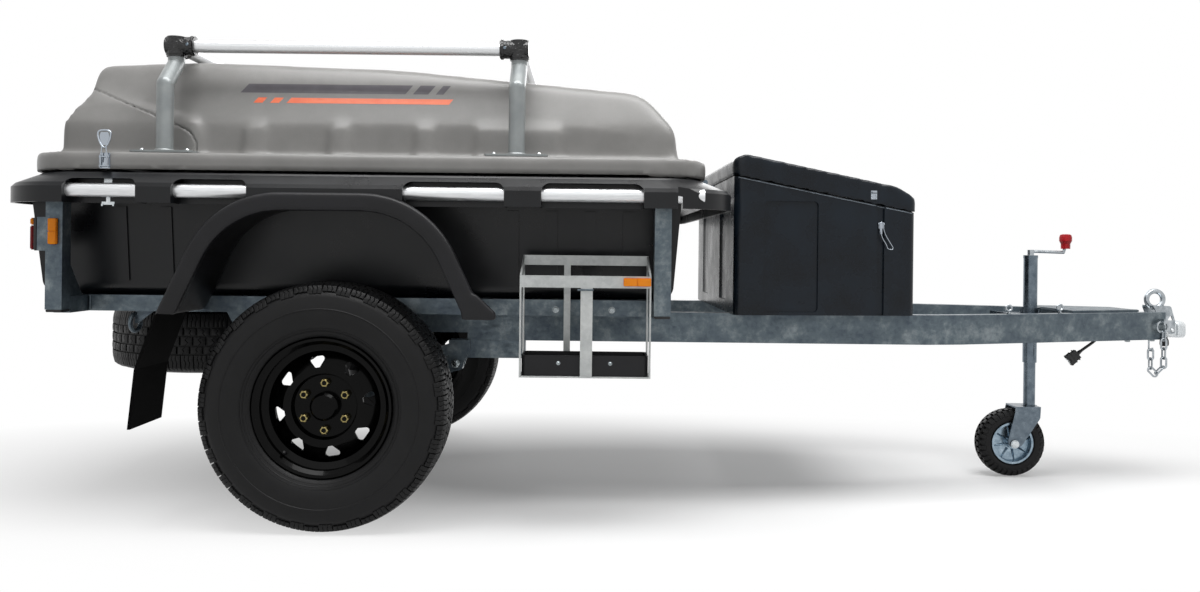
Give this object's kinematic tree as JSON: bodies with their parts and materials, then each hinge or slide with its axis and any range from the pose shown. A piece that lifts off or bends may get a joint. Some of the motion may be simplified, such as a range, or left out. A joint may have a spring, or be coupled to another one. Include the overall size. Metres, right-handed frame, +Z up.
{
  "type": "off-road pod trailer",
  "caption": "Single-axle off-road pod trailer with a moulded tub, hinged hard lid, roof rack, front toolbox, can holder, jockey stand and ball coupling.",
  "frame": {"origin": "on the ground under the middle of the trailer's length and width", "axes": "+X forward to the coupling, +Y to the left, +Z up"},
  "size_m": [4.0316, 1.86, 1.486],
  "materials": {
    "galvanised": "hot-dip galvanised, matt spangle",
    "zinc": "bright zinc plated",
    "chrome_latch": "bright plated",
    "aluminium": "satin anodised",
    "silver_paint": "satin silver powder coat",
    "black_paint": "gloss black",
    "grey_moulding": "satin moulded",
    "black_moulding": "fine-grained moulded",
    "dark_moulding": "satin rotationally moulded",
    "black_plastic": "semi-gloss moulded",
    "tyre": "matt black rubber",
    "rubber": "matt black rubber",
    "red_lens": "clear moulded lens",
    "amber_lens": "clear moulded lens"
  },
  "bodies": {
    "chassis": {"drawbar_rails": "galvanised", "side_rails": "galvanised", "cross_members": "galvanised", "corner_posts": "galvanised", "bracket_plates": "galvanised", "suspension_arms": "galvanised", "springs": "rubber", "mudguards": "black_moulding", "mud_flaps": "rubber", "tub": "black_moulding", "tie_rail": "aluminium", "tail_lamps": "red_lens", "side_markers": "amber_lens", "jerry_holder": "galvanised", "jerry_tray": "black_moulding", "toolbox_body": "dark_moulding", "toolbox_latches": "chrome_latch", "spare_tyre": "tyre", "spare_rim": "black_paint", "lid_hinges": "zinc", "jockey_tube": "zinc", "jockey_crank": "zinc", "coupling": "galvanised", "coupling_handle": "galvanised", "safety_chain": "galvanised", "plug_lead": "rubber", "plug": "black_plastic", "cord_gland": "black_plastic"},
    "wheel_right": {"tyre_right": "tyre", "rim_right": "black_paint", "hub_right": "black_paint"},
    "wheel_left": {"tyre_left": "tyre", "rim_left": "black_paint", "hub_left": "black_paint"},
    "pod_lid": {"lid": "grey_moulding", "lid_leaves": "zinc", "lid_latches": "chrome_latch", "rack_legs": "silver_paint", "rack_joints": "black_plastic", "rack_bars": "aluminium"},
    "box_lid": {"toolbox_lid": "dark_moulding"},
    "jockey_leg": {"jockey_inner": "zinc"},
    "jockey_swivel": {"jockey_fork": "zinc"},
    "jockey_wheel": {"jockey_tyre": "tyre", "jockey_hub": "zinc"}
  },
  "joints": [
    {"name": "wheel_right_spin", "type": "hinge", "parent": "chassis", "child": "wheel_right", "pos_m": [-1.0275, -0.7975, 0.3667], "axis": [0, 1, 0], "continuous": true},
    {"name": "wheel_left_spin", "type": "hinge", "parent": "chassis", "child": "wheel_left", "pos_m": [-1.0275, 0.7975, 0.3667], "axis": [0, 1, 0], "continuous": true},
    {"name": "pod_lid_hinge", "type": "hinge", "parent": "chassis", "child": "pod_lid", "pos_m": [0.1325, 0, 1.066], "axis": [0, 1, 0], "range_deg": [0, 45]},
    {"name": "box_lid_hinge", "type": "hinge", "parent": "chassis", "child": "box_lid", "pos_m": [0.2165, 0, 1.087], "axis": [0, -1, 0], "range_deg": [0, 60]},
    {"name": "jockey_lift", "type": "slide", "parent": "chassis", "child": "jockey_leg", "axis": [0, 0, 1], "range_m": [-0.1, 0.15]},
    {"name": "jockey_turn", "type": "hinge", "parent": "jockey_leg", "child": "jockey_swivel", "pos_m": [1.4275, 0, 0.265], "axis": [0, 0, 1], "continuous": true},
    {"name": "jockey_wheel_spin", "type": "hinge", "parent": "jockey_swivel", "child": "jockey_wheel", "pos_m": [1.3535, 0, 0.127], "axis": [0, 1, 0], "continuous": true}
  ]
}
